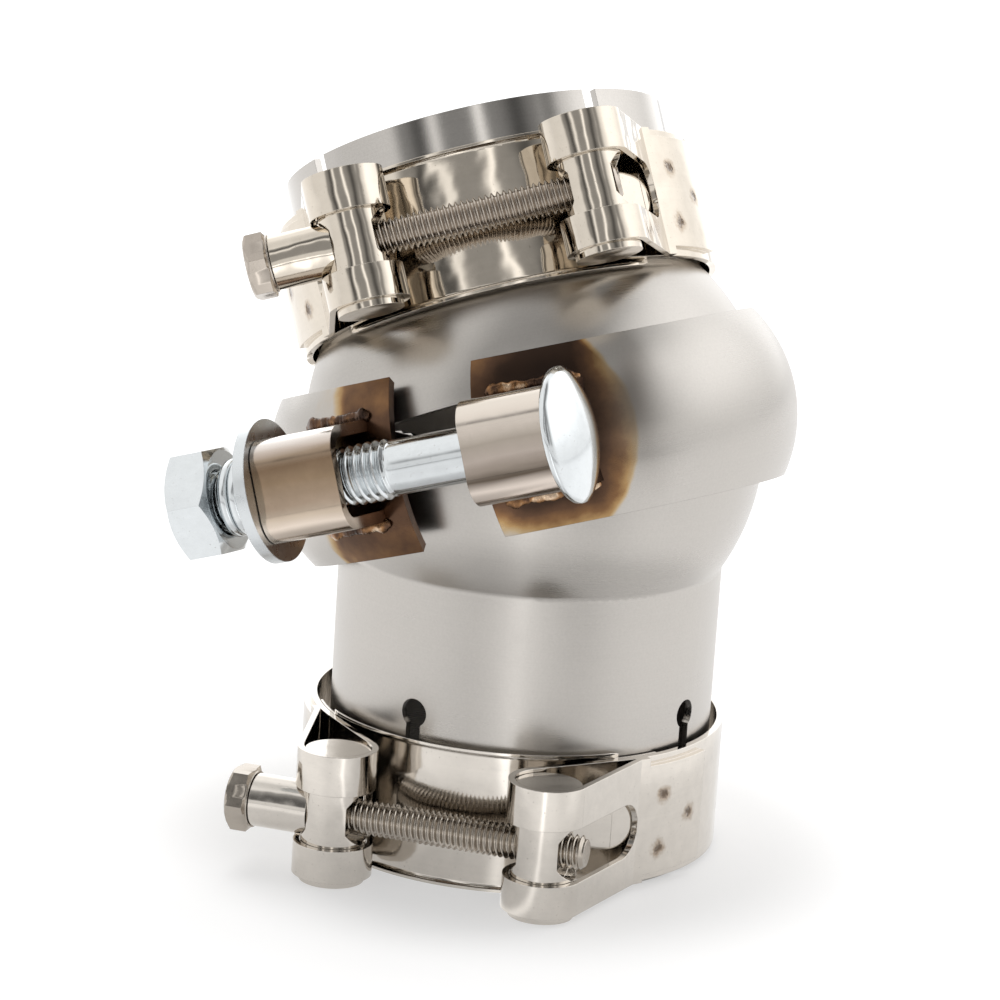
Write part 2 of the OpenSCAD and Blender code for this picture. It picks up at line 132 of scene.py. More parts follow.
class Tree:
    """Small helper that adds and links shader nodes."""

    def __init__(self, name, owner=None):
        self.mat = owner or bpy.data.materials.new(name)
        self.mat.use_nodes = True
        self.t = self.mat.node_tree
        self.t.nodes.clear()
        kind = "ShaderNodeOutputWorld" if owner else "ShaderNodeOutputMaterial"
        self.out = self.t.nodes.new(kind)

    def node(self, kind, **sets):
        n = self.t.nodes.new("ShaderNode" + kind)
        for k, v in sets.items():
            setattr(n, k, v)
        return n

    def put(self, socket, value):
        if isinstance(value, bpy.types.NodeSocket):
            self.t.links.new(value, socket)
        else:
            socket.default_value = value

    def math(self, op, a, b=0.0):
        n = self.node("Math", operation=op)
        self.put(n.inputs[0], a)
        self.put(n.inputs[1], b)
        return n.outputs[0]

    def add(self, a, b):
        return self.math("ADD", a, b)

    def sub(self, a, b):
        return self.math("SUBTRACT", a, b)

    def mul(self, a, b):
        return self.math("MULTIPLY", a, b)

    def most(self, a, b):
        return self.math("MAXIMUM", a, b)

    def least(self, a, b):
        return self.math("MINIMUM", a, b)

    def hypot(self, a, b):
        return self.math("SQRT", self.add(self.mul(a, a), self.mul(b, b)))

    def vec(self, op, a, b=(0, 0, 0)):
        n = self.node("VectorMath", operation=op)
        self.put(n.inputs[0], a)
        self.put(n.inputs[1], b)
        return n.outputs["Value"] if op == "LENGTH" else n.outputs[0]

    def combine(self, x, y, z):
        n = self.node("CombineXYZ")
        for s, v in zip(n.inputs, (x, y, z)):
            self.put(s, v)
        return n.outputs[0]

    def split(self, v):
        n = self.node("SeparateXYZ")
        self.put(n.inputs[0], v)
        return n.outputs[0], n.outputs[1], n.outputs[2]

    def remap(self, x, a, b, c, d, smooth=False):
        n = self.node("MapRange", interpolation_type="SMOOTHSTEP" if smooth else "LINEAR")
        for i, v in enumerate((x, a, b, c, d)):
            self.put(n.inputs[i], v)
        return n.outputs[0]

    def swing(self, x, low, high):
        """A noise value, which keeps to the middle, stretched from low to high."""
        return self.remap(x, 0.3, 0.7, low, high)

    def noise(self, v, scale, detail=2.0, rough=0.5):
        n = self.node("TexNoise")
        self.put(n.inputs["Vector"], v)
        self.put(n.inputs["Scale"], scale)
        self.put(n.inputs["Detail"], detail)
        self.put(n.inputs["Roughness"], rough)
        return n.outputs[0]

    def mix(self, f, a, b, blend="MIX"):
        n = self.node("Mix", data_type="RGBA", blend_type=blend)
        self.put(n.inputs[0], f)
        self.put(n.inputs[6], a)
        self.put(n.inputs[7], b)
        return n.outputs[2]

    def ramp(self, f, stops):
        n = self.node("ValToRGB")
        r = n.color_ramp
        while len(r.elements) > 1:
            r.elements.remove(r.elements[-1])
        r.elements[0].position, r.elements[0].color = stops[0][0], (*stops[0][1], 1)
        for p, c in stops[1:]:
            e = r.elements.new(p)
            e.color = (*c, 1)
        self.put(n.inputs[0], f)
        return n.outputs[0]

    def place(self, m):
        """Position in the frame m, in metres, fixed to the piece."""
        tc = self.node("TexCoord")
        mp = self.node("Mapping", vector_type="POINT")
        inv = m.inverted()
        mp.inputs["Location"].default_value = inv.translation
        mp.inputs["Rotation"].default_value = inv.to_euler("XYZ")
        self.put(mp.inputs["Vector"], tc.outputs["Object"])
        return mp.outputs[0]

    def around(self, axis):
        """Tangent that runs round an axis given in the piece's own space."""
        vt = self.node(
            "VectorTransform", vector_type="VECTOR", convert_from="OBJECT", convert_to="WORLD")
        vt.inputs[0].default_value = axis
        geo = self.node("NewGeometry")
        return self.vec("NORMALIZE", self.vec("CROSS_PRODUCT", vt.outputs[0], geo.outputs["Normal"]))


def bell(t, x, at, width):
    """A soft bump in x, 1 at its middle."""
    d = t.math("DIVIDE", t.sub(x, at), width)
    return t.math("EXPONENT", t.mul(t.mul(d, d), -1.0))


def zone(t, x, rise, fall, before=0.0, inside=1.0, after=0.0):
    """A stretch of x with soft ends: x climbs over rise and drops over fall."""
    return t.mul(t.remap(x, *rise, before, inside, True), t.remap(x, *fall, 1.0, after, True))


def from_front(t, x, y):
    """Angle from the front, towards the right, in degrees."""
    return t.mul(t.math("ARCTAN2", x, t.mul(y, -1.0)), DEG)


def col(r, g, b):
    """A colour that is written as it looks on screen, 0 to 255."""
    return tuple(
        (c / 255 / 12.92) if c / 255 <= 0.04045 else ((c / 255 + 0.055) / 1.055) ** 2.4
        for c in (r, g, b)
    )


def col4(r, g, b):
    return (*col(r, g, b), 1)


def metal(t, base, rough, normal, aniso=0.0, tangent=None):
    p = t.node("BsdfPrincipled")
    p.inputs["Metallic"].default_value = 1.0
    t.put(p.inputs["Base Color"], base)
    t.put(p.inputs["Roughness"], rough)
    p.inputs["Anisotropic"].default_value = aniso
    if tangent is not None:
        t.put(p.inputs["Tangent"], tangent)
    t.put(p.inputs["Normal"], normal)
    t.t.links.new(p.outputs[0], t.out.inputs[0])


def bump(t, height, distance, strength, edge=0.0):
    """Relief in metres, with sharp edges that catch the light over the radius edge."""
    b = t.node("Bump")
    b.inputs["Strength"].default_value = strength
    b.inputs["Distance"].default_value = distance
    t.put(b.inputs["Height"], height)
    if edge:
        e = t.node("Bevel", samples=4)
        e.inputs["Radius"].default_value = edge
        t.put(b.inputs["Normal"], e.outputs[0])
    return b.outputs[0]


# Radius at which a length round an axis is measured, in metres
ROUND_R = 0.036


def round_coords(t, p):
    """Length round the axis, radius and height of a position, in metres."""
    x, y, z = t.split(p)
    return t.mul(t.math("ARCTAN2", y, x), ROUND_R), t.hypot(x, y), z


def rolled_lines(t, s, rad, z, along, across):
    """Noise drawn out into lines that run round the axis."""
    return t.noise(t.combine(t.mul(s, along), t.mul(rad, across), t.mul(z, across)), 1.0, 2.0, 0.6)


def shaded(t, base, shade):
    """The base colour, made lighter or darker by the share shade."""
    return t.mix(1.0, (*base, 1), t.combine(*(t.add(1.0, shade),) * 3), "MULTIPLY")


STEEL = col(188, 184, 179)
CLAMP = col(214, 208, 200)
ZINC = col(216, 220, 222)
# Painted shade for the inside of a pipe's bore
INSIDE_SHADE = col4(70, 62, 56)
SPECK = col4(120, 105, 92)


def brushed(name, m, rough, tint=None, shade_within=0.0, worn=0.0):
    """Satin sheet: soft clouds, faint lines that run round the axis of frame m and
    fine grain. Inside the given bore radius, in metres, painted shade darkens the
    colour, and from the height worn on it is smoother."""
    t = Tree(name)
    p = t.place(m)
    s, rad, z = round_coords(t, p)
    lines = rolled_lines(t, s, rad, z, 60, 5200)
    broad = t.noise(t.combine(t.mul(s, 0.6), rad, z), 62.0, 3.0, 0.5)
    fine = t.noise(p, 2600.0, 2.0, 0.6)
    shade = t.add(t.swing(lines, -0.018, 0.018), t.swing(broad, -0.05, 0.04))
    c = shaded(t, STEEL, t.add(shade, t.swing(fine, -0.03, 0.03)))
    if tint is not None:
        c = tint(t, c)
    if shade_within:
        # Painted shade: the colour inside the bore is darkened
        c = t.mix(t.remap(rad, shade_within + 0.0002, shade_within + 0.0005, 0.55, 0.0), c, INSIDE_SHADE)
    r = t.add(rough, t.add(t.swing(lines, -0.02, 0.02), t.swing(broad, -0.05, 0.05)))
    if worn:
        r = t.mul(r, t.remap(z, worn, worn + 0.010, 1.0, 0.34, True))
    h = t.add(t.mul(lines, 0.2), t.mul(fine, 0.6))
    axis = m.to_3x3() @ Vector((0, 0, 1))
    metal(t, c, r, bump(t, h, 0.00001, 0.35, 0.00015), 0.3, t.around(axis))
    return t.mat


# Spot welds: angle from the front in degrees and height in millimetres
SPOTS = ((60.6, 15.2), (71.5, 10.6), (60.0, 5.6))
# Length of one degree on the clamp's outside, in metres
DEGREE_LEN = 0.00064


def spots(t, p, c):
    """Three spot welds on each folded-back end: a small crater in a brown ring."""
    x, y, z = t.split(p)
    a = t.math("ABSOLUTE", from_front(t, x, y))
    near = None
    for deg, up_z in SPOTS:
        d = t.hypot(t.mul(t.sub(a, deg), DEGREE_LEN), t.sub(z, up_z * MM))
        near = d if near is None else t.least(near, d)
    # Only the outermost layer of the strip has them
    near = t.add(near, t.remap(t.hypot(x, y), 0.0364, 0.0367, 0.01, 0.0))
    near = t.add(near, t.swing(t.noise(p, 700.0, 3.0, 0.7), -0.0005, 0.0005))
    c = t.mix(t.remap(near, 0.0008, 0.0022, 0.7, 0.0, True), c, col4(160, 140, 118))
    c = t.mix(t.remap(near, 0.0005, 0.0012, 0.85, 0.0, True), c, col4(94, 80, 68))
    return c, t.remap(near, 0.0003, 0.0011, 0.0, 1.0, True)


def bright(name, m, base, rough, edge=0.00018, wave=0.5, tint=None, welds=False):
    """Bright rolled strip with soft waves, fine rolling lines and a few specks."""
    t = Tree(name)
    p = t.place(m)
    s, rad, z = round_coords(t, p)
    lines = rolled_lines(t, s, rad, z, 25, 1800)
    waves = t.noise(p, 130.0, 1.5, 0.4)
    blotch = t.noise(p, 420.0, 3.0, 0.6)
    specks = t.remap(t.noise(p, 2600.0, 1.0, 0.5), 0.72, 0.78, 0.0, 1.0)
    c = shaded(t, base, t.add(t.swing(lines, -0.012, 0.012), t.swing(blotch, -0.04, 0.03)))
    c = t.mix(t.mul(specks, 0.35), c, SPECK)
    if tint is not None:
        c = tint(t, c)
    r = t.add(rough, t.add(t.remap(blotch, 0.3, 0.8, -0.03, 0.07), t.mul(specks, 0.12)))
    h = t.add(waves, t.mul(lines, 0.004))
    if welds:
        c, dent = spots(t, p, c)
        h = t.add(h, t.mul(dent, 0.9))
    metal(t, c, r, bump(t, h, 0.0004, wave, edge))
    return t.mat


# Heat colours from nearly black to plain steel
HEAT = (
    (0.00, (54, 43, 37)), (0.18, (62, 48, 40)), (0.36, (92, 69, 54)), (0.50, (126, 94, 66)),
    (0.62, (168, 136, 94)), (0.75, (186, 164, 130)), (0.88, (188, 180, 170)), (1.00, (188, 184, 179)),
)
# The burnt field round each lug, in millimetres along the bolt: its left end on
# the upper and on the lower half of the band and its right end, then how far the
# colours reach to the left, right, up and down, and the heat colour it starts at
BURNT = (
    (-16.0, -23.0, -7.0, 6.0, 30.0, 60.0, 45.0, 0.34),
    (7.0, 7.0, 22.0, 30.0, 12.5, 34.0, 9.0, 0.0),
)
# Half height of the burnt fields, in metres
BURNT_HALF = 0.0088


def beyond(t, x, limit, reach):
    """How far x is past a limit, as a share of reach in millimetres."""
    return t.math("DIVIDE", t.most(t.sub(x, limit), 0.0), reach * MM)


def ramp_of(t, f, *stops):
    """A ramp of colours that are written as they look on screen."""
    return t.ramp(f, [(at, col(*v)) for at, v in stops])


def band_tint(t, c):
    """Colours that the welding left round the feet of the lugs: nearly black beside
    the beads and up to the end of the band, then brown and gold, and smoky beyond
    the bolt's head."""
    p = t.place(BAND)
    x, y, z = t.split(p)
    slow = t.swing(t.noise(p, 120.0, 2.0, 0.5), -1.0, 1.0)
    fast = t.swing(t.noise(p, 420.0, 3.0, 0.6), -1.0, 1.0)
    heat = None
    for lo_up, lo_down, hi, left, right_, above, below, start in BURNT:
        lo = t.remap(z, -0.004, 0.004, lo_down * MM, lo_up * MM)
        dr = beyond(t, x, hi * MM, right_)
        out = t.math("DIVIDE", z, 0.012)
        dr = t.mul(dr, t.add(1.0, t.mul(t.mul(out, out), 0.7)))
        across = t.add(beyond(t, lo, x, left), dr)
        upright = t.add(
            beyond(t, z, BURNT_HALF, above), beyond(t, t.mul(z, -1.0), BURNT_HALF, below))
        d = t.add(t.hypot(across, upright), start)
        heat = d if heat is None else t.least(heat, d)
    heat = t.add(heat, t.add(t.mul(slow, 0.09), t.mul(fast, 0.035)))
    # Cleaner by the right end of the gap, and plain steel away from the front
    heat = t.add(heat, t.mul(bell(t, x, 0.0072, 0.0042), 0.33))
    heat = t.add(heat, t.remap(y, -0.034, -0.028, 0.0, 2.0))
    c = t.mix(t.remap(heat, 0.8, 1.1, 1.0, 0.0, True), c, ramp_of(t, heat, *HEAT))
    smoke = t.mul(bell(t, x, 0.0306, 0.0028), bell(t, z, 0.004, 0.0105))
    smoke = t.mul(smoke, t.remap(y, -0.029, -0.026, 0.85, 0.0))
    return t.mix(smoke, c, col4(118, 112, 106))


def lug_heat_and_painted_reflections(t, _):
    """Straw to brown in bands across the strap, darker towards the welded feet.
    The bands are partly heat tint and partly painted reflections: their light and
    dark stripes stand for what the curved strap reflects. These colours take the
    place of the plain one."""
    p = t.place(BAND)
    x, y, z = t.split(p)
    wob = t.swing(t.noise(p, 160.0, 3.0, 0.6), -1.0, 1.0)
    depth = t.add(t.add(y, (BOLT_OUT + 4.0) * MM), t.mul(wob, 0.0012))
    streak = t.noise(t.combine(t.mul(x, 0.15), y, z), 260.0, 2.0, 0.5)
    h = t.remap(t.add(z, t.swing(streak, -0.0006, 0.0006)), -0.010, 0.010, 0.0, 1.0)
    # Light and dark bands up each lug: heat tint together with painted reflections and highlights
    right_lug = ramp_of(
        t, h, (0.02, (110, 96, 86)), (0.11, (206, 193, 182)), (0.19, (212, 200, 190)),
        (0.26, (98, 87, 76)), (0.33, (160, 148, 137)), (0.43, (190, 178, 168)),
        (0.56, (176, 166, 154)), (0.70, (214, 203, 192)), (0.92, (224, 216, 206)))
    left_lug = ramp_of(
        t, h, (0.05, (150, 138, 126)), (0.17, (224, 210, 196)), (0.25, (200, 184, 166)),
        (0.37, (176, 156, 136)), (0.54, (152, 130, 106)), (0.68, (130, 108, 87)),
        (0.76, (156, 138, 120)), (0.82, (196, 184, 174)), (0.90, (240, 234, 229)))
    foot = t.ramp(t.remap(depth, 0.0, 0.014, 0.0, 1.0), [
        (0.0, (1, 1, 1)), (0.5, (0.96, 0.94, 0.92)), (0.80, (0.45, 0.35, 0.29)),
        (1.0, (0.16, 0.12, 0.10))])
    right_lug, left_lug = (t.mix(1.0, v, foot, "MULTIPLY") for v in (right_lug, left_lug))
    return t.mix(t.remap(x, -0.002, 0.002, 1.0, 0.0), right_lug, left_lug)


def weld_metal(name):
    """Burnt bead with dark oxide, gold flares and a ripple across its length."""
    t = Tree(name)
    p = t.place(BAND)
    x, _, _ = t.split(p)
    flares = t.noise(p, 260.0, 2.5, 0.5)
    grain = t.noise(p, 1900.0, 2.0, 0.6)
    c = ramp_of(
        t, flares, (0.30, (52, 41, 36)), (0.45, (88, 66, 52)), (0.55, (146, 108, 74)),
        (0.63, (206, 182, 156)), (0.75, (120, 98, 84)))
    ripple = t.math("SINE", t.mul(t.add(x, t.mul(flares, 0.0006)), 9000.0))
    h = t.add(t.mul(ripple, 0.25), grain)
    metal(t, c, t.swing(grain, 0.14, 0.34), bump(t, h, 0.00007, 0.6))
    return t.mat


mats = {
    "lower_pipe": brushed("satin lower pipe", LOWER, 0.31, shade_within=0.03175),
    "upper_pipe": brushed("satin upper pipe", UPPER, 0.31, worn=0.030),
    "ball_band": brushed("satin band", BAND, 0.30, tint=band_tint),
    # The lug's colours hold painted reflections as well as heat tint
    "lug": bright("tinted lug with painted reflections", BAND, STEEL, 0.13, 0.0002, 0.25, tint=lug_heat_and_painted_reflections),
    "lower_clamp": bright("bright lower clamp", LOWER_CLAMP, CLAMP, 0.09, welds=True),
    "upper_clamp": bright(
        "bright upper clamp", UPPER_CLAMP, col(212, 203, 190), 0.05, wave=0.9, welds=True),
    "zinc": bright("bright zinc", BAND, ZINC, 0.12, 0.0001, 0.2),
    "washer": bright("washer zinc", BAND, ZINC, 0.28, 0.0002, 0.2),
    "lower_bolt": bright(
        "lower clamp bolt steel", LOWER_CLAMP, col(180, 172, 162), 0.17, 0.00008, 0.1),
    "upper_bolt": bright(
        "upper clamp bolt steel", UPPER_CLAMP, col(182, 173, 163), 0.17, 0.00008, 0.1),
    "weld": weld_metal("weld bead"),
}


def dress(mat, *names):
    for name in names:
        slots = nodes[name].data.materials
        slots.clear()
        slots.append(mats[mat])


for sheet in ("lower_pipe", "upper_pipe", "ball_band"):
    dress(sheet, sheet)
dress("lug", "left_lug", "right_lug", "lug_welds")
dress("washer", "flat_washer")
dress("zinc", "carriage_bolt", "spring_washer", "hex_nut")
CLAMP_PIECES = ("clamp_band", "bridge_strip", "left_barrel", "right_barrel", "sleeve", "clamp_bolt")
for side in ("lower", "upper"):
    dress(f"{side}_clamp", *(f"{side}_{piece}" for piece in CLAMP_PIECES))


def finish_piece(name, bm, mat, body, node, frame_m, sharp=35):
    """Turns a mesh built in millimetres in frame_m into a piece that rides on a body
    and stands for a node. Edges over sharp degrees stay sharp."""
    bmesh.ops.remove_doubles(bm, verts=bm.verts, dist=0.004)
    bmesh.ops.recalc_face_normals(bm, faces=bm.faces)
    limit = math.radians(sharp)
    for f in bm.faces:
        f.smooth = True
    for e in bm.edges:
        e.smooth = len(e.link_faces) == 2 and e.calc_face_angle(0.0) < limit
    bm.transform(frame_m @ Matrix.Scale(MM, 4))
    me = bpy.data.meshes.new(name)
    bm.to_mesh(me)
    bm.free()
    me.materials.append(mats[mat])
    o = bpy.data.objects.new(name, me)
    bpy.context.scene.collection.objects.link(o)
    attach(o, body)
    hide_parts(node)


def skin(bm, rows, capped=True):
    """Faces between rings of as many vertices each, and over the two ends."""
    for a, b in zip(rows, rows[1:]):
        for j in range(len(a)):
            k = (j + 1) % len(a)
            bm.faces.new((a[j], a[k], b[k], b[j]))
    if capped:
        bm.faces.new(rows[0])
        bm.faces.new(rows[-1])


def ring(bm, x, r, seg, y, z):
    angles = (2 * math.pi * j / seg for j in range(seg))
    return [bm.verts.new((x, y + r * math.cos(a), z + r * math.sin(a))) for a in angles]


def lathe_x(bm, profile, seg, y, z=0.0):
    """A turned shape round a line along X. A radius of 0 closes it."""
    last = None
    for x, r in profile:
        here = [bm.verts.new((x, y, z))] if r == 0 else ring(bm, x, r, seg, y, z)
        if last:
            for j in range(seg):
                k = (j + 1) % seg
                quad = [last[j % len(last)], last[k % len(last)],
                        here[k % len(here)], here[j % len(here)]]
                corners = list(dict.fromkeys(quad))
                if len(corners) > 2:
                    bm.faces.new(corners)
        last = here


# One pitch of thread: place along it, and depth below the crest
THREAD = (
    (0.0, 1.0), (0.14, 1.0), (0.24, 0.9), (0.40, 0.48),
    (0.56, 0.05), (0.63, 0.0), (0.70, 0.05), (0.86, 0.5),
)
# Depth of the thread for a pitch of 1
THREAD_DEPTH = 0.613


def thread_x(bm, x0, x1, major, pitch, seg, runout, y, z=0.0):
    """A right-hand thread round a line along X, chamfered at x0 and closed there.
    At x1 it fades into a plain shank of the radius runout."""
    depth = THREAD_DEPTH * pitch
    end_r = major - depth - 0.1
    n = len(THREAD)
    rows = n * (math.ceil((x1 - x0) / pitch) + 3)
    grid = []
    for i in range(rows):
        part, cut = THREAD[i % n]
        line = []
        for j in range(seg):
            x = x0 + (i // n + part - 1 + j / seg) * pitch
            r = min(major - depth * cut, end_r + max(x - x0, 0))
            f = min(max((x - x1) / (1.3 * pitch) + 1, 0), 1)
            r = r + (runout - r) * f * f * (3 - 2 * f)
            x = min(max(x, x0), x1)
            a = 2 * math.pi * j / seg
            line.append(bm.verts.new((x, y + r * math.cos(a), z + r * math.sin(a))))
        grid.append(line)
    for i in range(rows - n - 1):
        for j in range(seg):
            if j + 1 < seg:
                c, d = grid[i + 1][j + 1], grid[i][j + 1]
            else:
                # After a full turn the row is one pitch on
                c, d = grid[i + 1 + n][0], grid[i + n][0]
            q = (grid[i][j], grid[i + 1][j], c, d)
            if max(v.co.x for v in q) - x0 < 1e-5 or x1 - min(v.co.x for v in q) < 1e-5:
                continue
            bm.faces.new(q)
    used = {v for f in bm.faces for v in f.verts}
    for line in grid:
        for v in line:
            if v not in used:
                bm.verts.remove(v)
    lathe_x(bm, [(x0, 0), (x0, end_r)], seg, y, z)


# Vertices round a hexagonal head, and the length of its chamfer's slope
HEX_SEG, HEX_SLOPE = 72, 1.15


def hex_head(bm, x0, x1, af, y, z):
    """A hexagonal head with a corner at the top, chamfered at its free end x1
    and with a small washer face at x0."""
    d = 1 if x1 > x0 else -1
    flat = af * 0.475
    levels = [
        (x0, lambda r: 0.0), (x0, lambda r: flat), (x0 + 0.25 * d, lambda r: flat),
        (x0 + 0.3 * d, lambda r: min(r, flat + 0.08)), (x0 + 0.6 * d, lambda r: r),
    ]
    for k in range(7):
        t = k / 6
        cone = flat + (1 - t) * HEX_SLOPE / math.tan(math.radians(30))
        levels.append((x1 - (1.0 - t) * HEX_SLOPE * d, lambda r, cone=cone: min(r, cone)))
    levels += [
        (x1, lambda r: flat * 0.9), (x1 - 0.12 * d, lambda r: flat * 0.82),
        (x1 - 0.12 * d, lambda r: 0.0),
    ]
    rows = []
    for x, radius in levels:
        row = []
        for j in range(HEX_SEG):
            a = 2 * math.pi * j / HEX_SEG
            b = (a + math.pi / 6) % (math.pi / 3) - math.pi / 6
            q = radius(af / 2 / math.cos(b))
            a += math.pi / 2
            row.append(bm.verts.new((x, y + q * math.cos(a), z + q * math.sin(a))))
        rows.append(row)
    skin(bm, rows, capped=False)


def carriage_bolt():
    bm = bmesh.new()
    y = -BOLT_OUT
    # Radius of the sphere that the head's dome is cut from
    dome = (HEAD_R ** 2 + HEAD_H ** 2) / (2 * HEAD_H)
    top = HEAD_X + HEAD_EDGE
    profile = [
        (THREAD_X, SHANK_R), (THREAD_X + 1.0, SHANK_R), (8.0, SHANK_R), (HEAD_X - 0.2, SHANK_R),
        (HEAD_X, 4.7), (HEAD_X, 10.35), (HEAD_X + 0.12, 10.75), (HEAD_X + 0.4, 10.95),
        (top - 0.25, HEAD_R), (top - 0.02, 10.93),
    ]
    for k in range(1, 13):
        a = (1 - k / 12) * math.asin(10.7 / dome)
        profile.append((top + HEAD_H - dome + dome * math.cos(a), dome * math.sin(a) if k < 12 else 0))
    lathe_x(bm, profile, 64, y)
    half, cut = SHANK_R, 0.7
    corners = [
        (half, half - cut), (half - cut, half), (cut - half, half), (-half, half - cut),
        (-half, cut - half), (cut - half, -half), (half - cut, -half), (half, cut - half),
    ]
    places = ((HEAD_X - NECK_LEN, 0.9), (HEAD_X - NECK_LEN + 0.4, 1.0), (HEAD_X, 1.0))
    skin(bm, [[bm.verts.new((x, y + p * s, q * s)) for p, q in corners] for x, s in places])
    thread_x(bm, BOLT_END_X, THREAD_X, 4.95, 1.5, 64, SHANK_R, y)
    finish_piece("carriage_bolt_detailed", bm, "zinc", "ball_clamp", "carriage_bolt",
                 BAND, 42)


def clamp_bolt(side, half, frame_m):
    bm = bmesh.new()
    y, z, r = -CLAMP_OUT, CLAMP_BOLT_Z, CLAMP_BOLT_R
    head = -half - SPOT_HALF - SLEEVE_LEN - STACK_PLAY
    hex_head(bm, head, head - CLAMP_HEAD_H, CLAMP_HEAD_AF, y, z)
    lathe_x(bm, [(head, 3.4), (head + 0.3, r), (head + SLEEVE_LEN, r)], 40, y, z)
    # The thread starts on the right, so it is built the other way round and turned
    part = bmesh.new()
    thread_x(part, -(head + CLAMP_BOLT_LEN), -(head + SLEEVE_LEN), r, CLAMP_PITCH, 40, r, y, z)
    part.transform(Matrix.Translation((0, 2 * y, 0)) @ Matrix.Rotation(math.pi, 4, "Z"))
    me = bpy.data.meshes.new("thread")
    part.to_mesh(me)
    part.free()
    bm.from_mesh(me)
    bpy.data.meshes.remove(me)
    name = f"{side}_clamp_bolt"
    finish_piece(f"{name}_detailed", bm, f"{side}_bolt", name, name, frame_m, 42)


def spring_coil():
    """Two and a half turns of squared wire, slack, with its ends at the bottom and behind."""
    bm = bmesh.new()
    turns, seg, thick, r0, r1, soft = 2.55, 160, 1.7, 5.08, 6.4, 0.5
    section = []
    for side_x, side_r, a0 in ((1, 1, 0), (-1, 1, 90), (-1, -1, 180), (1, -1, 270)):
        for k in range(4):
            a = math.radians(a0 + 30 * k)
            section.append((
                side_x * (thick / 2 - soft) + soft * math.cos(a),
                (r0 + r1) / 2 + side_r * ((r1 - r0) / 2 - soft) + soft * math.sin(a)))
    rows = []
    for i in range(seg + 1):
        t = i / seg
        a = math.radians(-122 + 360 * turns * t)
        x = SPRING_X + thick / 2 + 0.02 + t * (SPRING_H - thick - 0.04)
        rows.append([
            bm.verts.new((x + u, -BOLT_OUT - r * math.cos(a), r * math.sin(a)))
            for u, r in section])
    skin(bm, rows)
    finish_piece("spring_washer_coil", bm, "zinc", "ball_clamp", "spring_washer",
                 BAND)


def blob(x, at, width):
    return math.exp(-((x - at) / width) ** 2)


def weld_beads():
    """Four lumpy beads along the feet of the lugs, each with a thicker blob at the gap's end."""
    bm = bmesh.new()
    steps, seg, foot_z = 60, 14, 8.9
    for x0, x1, gap_at_end in ((-25.4, -11.0, True), (9.6, 24.0, False)):
        for side in (-1, 1):
            rows = []
            for i in range(steps + 1):
                t = i / steps
                x = x0 + (x1 - x0) * t
                z = side * foot_z
                rr = BAND_RING_R + math.sqrt(BAND_ARC_R ** 2 - z * z)
                y = -math.sqrt(rr * rr - x * x)
                near = t if gap_at_end else 1 - t
                lump = (noise.noise(Vector((x * 0.55, side * 3.1, x0))) * 0.55
                        + noise.noise(Vector((x * 1.7, side * 7.3, x0))) * 0.22)
                size = (0.85 + 0.35 * lump + 0.75 * blob(near, 0.95, 0.07)
                        + 0.35 * blob(near, 0.12, 0.08))
                size *= min(1, 6 * t + 0.25, 6 * (1 - t) + 0.25)
                off = 0.25 * noise.noise(Vector((x * 0.9, side * 5.0, 2.0 + x0)))
                row = []
                for k in range(seg):
                    a = 2 * math.pi * k / seg
                    wob = 1 + 0.18 * noise.noise(
                        Vector((x * 1.3, math.cos(a) * 1.2, math.sin(a) * 1.2 + side * 4)))
                    row.append(bm.verts.new((
                        x, y - 0.15 + size * 0.8 * wob * math.sin(a),
                        z + side * off + size * 1.25 * wob * math.cos(a))))
                rows.append(row)
            skin(bm, rows)
    finish_piece("weld_beads", bm, "weld", "ball_clamp", "lug_welds", BAND, 80)


carriage_bolt()
spring_coil()
weld_beads()
clamp_bolt("lower", LOWER_BARREL_HALF, LOWER_CLAMP)
clamp_bolt("upper", UPPER_BARREL_HALF, UPPER_CLAMP)


def rays(t):
    """1 for what the camera sees directly, and 1 for what reflections see."""
    lp = t.node("LightPath")
    direct = t.most(lp.outputs["Is Camera Ray"], lp.outputs["Is Transmission Ray"])
    return direct, lp.outputs["Is Glossy Ray"]


# Stretches of the floor in reflections: angle from the front, width and brightness
FLOOR_STRETCHES = ((27.0, 15.0, -0.32), (-28.0, 13.0, -0.24), (-5.0, 3.0, 1.3))


